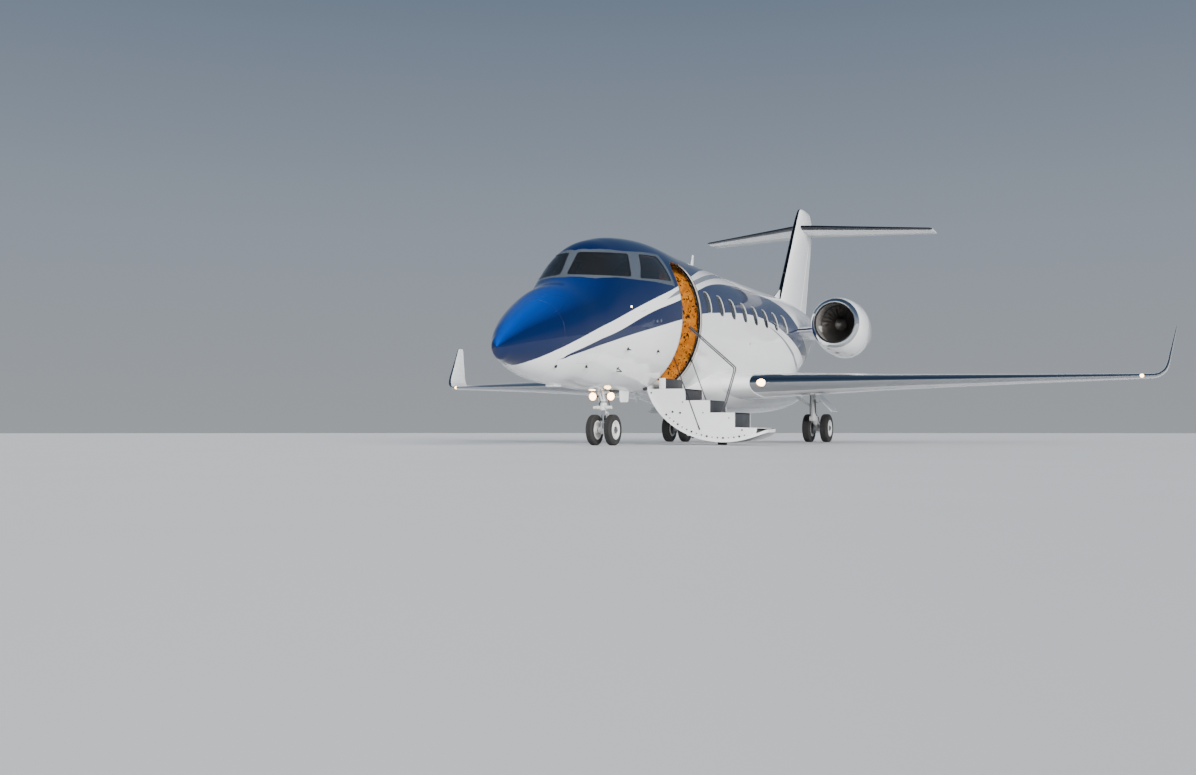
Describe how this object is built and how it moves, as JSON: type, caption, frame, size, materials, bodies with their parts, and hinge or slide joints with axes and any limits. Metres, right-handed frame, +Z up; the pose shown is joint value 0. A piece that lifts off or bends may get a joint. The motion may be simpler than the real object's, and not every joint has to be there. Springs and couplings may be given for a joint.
{
  "type": "business jet",
  "caption": "Twin-engined business jet with a T-tail, swept wings with upturned tips, and its airstair lowered beside the cockpit.",
  "frame": {"origin": "on the ground under the middle of the overall box", "axes": "+Y towards the tail, +X to port, +Z up"},
  "size_m": [19.2052, 20.15, 6.585],
  "materials": {
    "white_paint": "gloss white paint, with blue and grey stripes on the fuselage",
    "blue_paint": "gloss blue paint",
    "window_glass": "tinted glass",
    "bare_metal": "polished metal",
    "dark_metal": "dark metal",
    "tyre_rubber": "black tyre rubber",
    "burl_wood": "polished orange burl veneer",
    "seat_leather": "soft tan leather",
    "panel_plastic": "matt black panel"
  },
  "bodies": {
    "airframe": {"radome": "blue_paint", "forward_fuselage": "white_paint", "cabin_fuselage": "white_paint", "tail_fuselage": "white_paint", "belly_fairing": "white_paint", "cabin_floor": "seat_leather", "entry_bulkhead": "burl_wood", "instrument_panel": "panel_plastic", "pilot_seats": "seat_leather", "tailplane": "white_paint", "fin": "white_paint", "nose_leg": "white_paint", "cabin_seats_port": "seat_leather", "windshield_port": "window_glass", "side_window_port": "window_glass", "cabin_windows_port": "window_glass", "wing_port": "white_paint", "nacelle_port": "white_paint", "engine_core_port": "dark_metal", "pylon_port": "white_paint", "nose_gear_door_port": "white_paint", "main_leg_port": "white_paint", "main_gear_door_port": "white_paint", "cabin_seats_starboard": "seat_leather", "windshield_starboard": "window_glass", "side_window_starboard": "window_glass", "cabin_windows_starboard": "window_glass", "wing_starboard": "white_paint", "nacelle_starboard": "white_paint", "engine_core_starboard": "dark_metal", "pylon_starboard": "white_paint", "nose_gear_door_starboard": "white_paint", "main_leg_starboard": "white_paint", "main_gear_door_starboard": "white_paint"},
    "nose_steering": {"nose_fork": "bare_metal"},
    "nose_wheels": {"nose_wheels": "white_paint", "nose_tyre_port": "tyre_rubber", "nose_tyre_starboard": "tyre_rubber"},
    "airstair": {"airstair_door": "white_paint", "airstair_steps": "white_paint", "airstair_handrail": "bare_metal"},
    "rudder": {"rudder": "white_paint"},
    "main_wheels_port": {"main_wheels_port": "white_paint", "main_tyre_inner_port": "tyre_rubber", "main_tyre_outer_port": "tyre_rubber"},
    "fan_port": {"fan_port": "dark_metal"},
    "elevator_port": {"elevator_port": "white_paint"},
    "aileron_port": {"aileron_port": "white_paint"},
    "flap_port": {"flap_port": "white_paint"},
    "main_wheels_starboard": {"main_wheels_starboard": "white_paint", "main_tyre_inner_starboard": "tyre_rubber", "main_tyre_outer_starboard": "tyre_rubber"},
    "fan_starboard": {"fan_starboard": "dark_metal"},
    "elevator_starboard": {"elevator_starboard": "white_paint"},
    "aileron_starboard": {"aileron_starboard": "white_paint"},
    "flap_starboard": {"flap_starboard": "white_paint"}
  },
  "joints": [
    {"name": "nose_steer", "type": "hinge", "parent": "airframe", "child": "nose_steering", "pos_m": [0, -6.115, 0.6], "axis": [0, 0, 1], "range_deg": [-60, 60]},
    {"name": "nose_wheel_spin", "type": "hinge", "parent": "nose_steering", "child": "nose_wheels", "pos_m": [0, -6.115, 0.281], "axis": [1, 0, 0], "continuous": true},
    {"name": "airstair_fold", "type": "hinge", "parent": "airframe", "child": "airstair", "pos_m": [0.42, -4.625, 1.06], "axis": [0, -1, 0], "range_deg": [0, 100.2]},
    {"name": "rudder_turn", "type": "hinge", "parent": "airframe", "child": "rudder", "pos_m": [0, 7.086, 3.6], "axis": [0, 0.4592, 0.8883], "range_deg": [-25, 25]},
    {"name": "main_wheel_spin_port", "type": "hinge", "parent": "airframe", "child": "main_wheels_port", "pos_m": [1.79, 2.285, 0.333], "axis": [1, 0, 0], "continuous": true},
    {"name": "fan_spin_port", "type": "hinge", "parent": "airframe", "child": "fan_port", "pos_m": [2.08, 3.475, 2.89], "axis": [0, 1, 0], "continuous": true},
    {"name": "elevator_turn_port", "type": "hinge", "parent": "airframe", "child": "elevator_port", "pos_m": [0.26, 8.535, 6.01046], "axis": [0.9284, 0.3714, 0.0088], "range_deg": [-20, 20]},
    {"name": "aileron_turn_port", "type": "hinge", "parent": "airframe", "child": "aileron_port", "pos_m": [6.15, 2.785, 1.40783], "axis": [0.9053, 0.4237, 0.0291], "range_deg": [-20, 20]},
    {"name": "flap_turn_port", "type": "hinge", "parent": "airframe", "child": "flap_port", "pos_m": [2.35, 1.895, 1.28652], "axis": [-0.9768, -0.2116, -0.0312], "range_deg": [0, 30]},
    {"name": "main_wheel_spin_starboard", "type": "hinge", "parent": "airframe", "child": "main_wheels_starboard", "pos_m": [-1.79, 2.285, 0.333], "axis": [1, 0, 0], "continuous": true},
    {"name": "fan_spin_starboard", "type": "hinge", "parent": "airframe", "child": "fan_starboard", "pos_m": [-2.08, 3.475, 2.89], "axis": [0, 1, 0], "continuous": true},
    {"name": "elevator_turn_starboard", "type": "hinge", "parent": "airframe", "child": "elevator_starboard", "pos_m": [-0.26, 8.535, 6.01046], "axis": [0.9284, -0.3714, -0.0088], "range_deg": [-20, 20]},
    {"name": "aileron_turn_starboard", "type": "hinge", "parent": "airframe", "child": "aileron_starboard", "pos_m": [-6.15, 2.785, 1.40783], "axis": [0.9053, -0.4237, -0.0291], "range_deg": [-20, 20]},
    {"name": "flap_turn_starboard", "type": "hinge", "parent": "airframe", "child": "flap_starboard", "pos_m": [-2.35, 1.895, 1.28652], "axis": [-0.9768, 0.2116, 0.0312], "range_deg": [0, 30]}
  ],
  "couplings": [
    {"joint": "elevator_turn_starboard", "follows": "elevator_turn_port", "ratio": 1},
    {"joint": "aileron_turn_starboard", "follows": "aileron_turn_port", "ratio": -1},
    {"joint": "flap_turn_starboard", "follows": "flap_turn_port", "ratio": 1}
  ]
}
